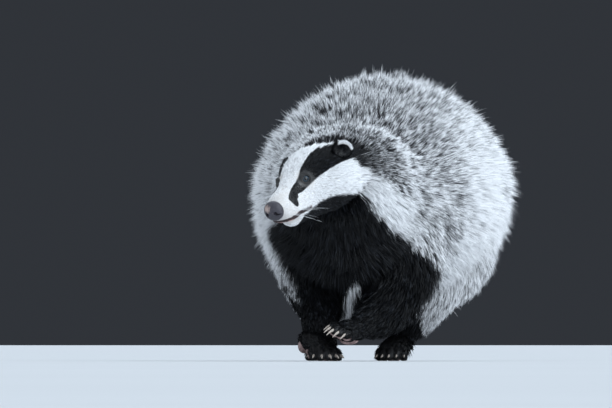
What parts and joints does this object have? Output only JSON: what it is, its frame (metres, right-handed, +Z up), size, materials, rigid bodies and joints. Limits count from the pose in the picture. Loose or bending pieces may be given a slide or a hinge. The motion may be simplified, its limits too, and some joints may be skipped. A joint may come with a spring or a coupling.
{
  "type": "european badger",
  "caption": "Life-size still model of a European badger caught mid stride, head turned to its right, with a thick banded coat and a striped face.",
  "frame": {"origin": "on the floor under the middle of the animal's bounding box", "axes": "the animal faces -Y, its left side is +X, +Z is up, and its length runs along Y"},
  "size_m": [0.3289, 0.8041, 0.3721],
  "materials": {
    "torso": "thick banded grey fur",
    "neck": "thick banded grey fur",
    "tail": "thick banded grey fur",
    "head": "short white fur",
    "lower_jaw": "short white fur",
    "ear_left": "black fur",
    "ear_right": "black fur",
    "nose": "moist bare skin",
    "eye_left": "glossy dark eye",
    "eye_right": "glossy dark eye",
    "foreleg_left": "black fur",
    "foreleg_right": "black fur",
    "hindleg_left": "black fur",
    "hindleg_right": "black fur",
    "paw_fore_left": "black fur",
    "paw_fore_right": "black fur",
    "paw_hind_left": "black fur",
    "paw_hind_right": "black fur"
  },
  "bodies": {
    "root": {"torso": "torso", "neck": "neck", "tail": "tail", "head": "head", "lower_jaw": "lower_jaw", "ear_left": "ear_left", "ear_right": "ear_right", "nose": "nose", "eye_left": "eye_left", "eye_right": "eye_right", "foreleg_left": "foreleg_left", "foreleg_right": "foreleg_right", "hindleg_left": "hindleg_left", "hindleg_right": "hindleg_right", "paw_fore_left": "paw_fore_left", "paw_fore_right": "paw_fore_right", "paw_hind_left": "paw_hind_left", "paw_hind_right": "paw_hind_right"}
  },
  "joints": []
}
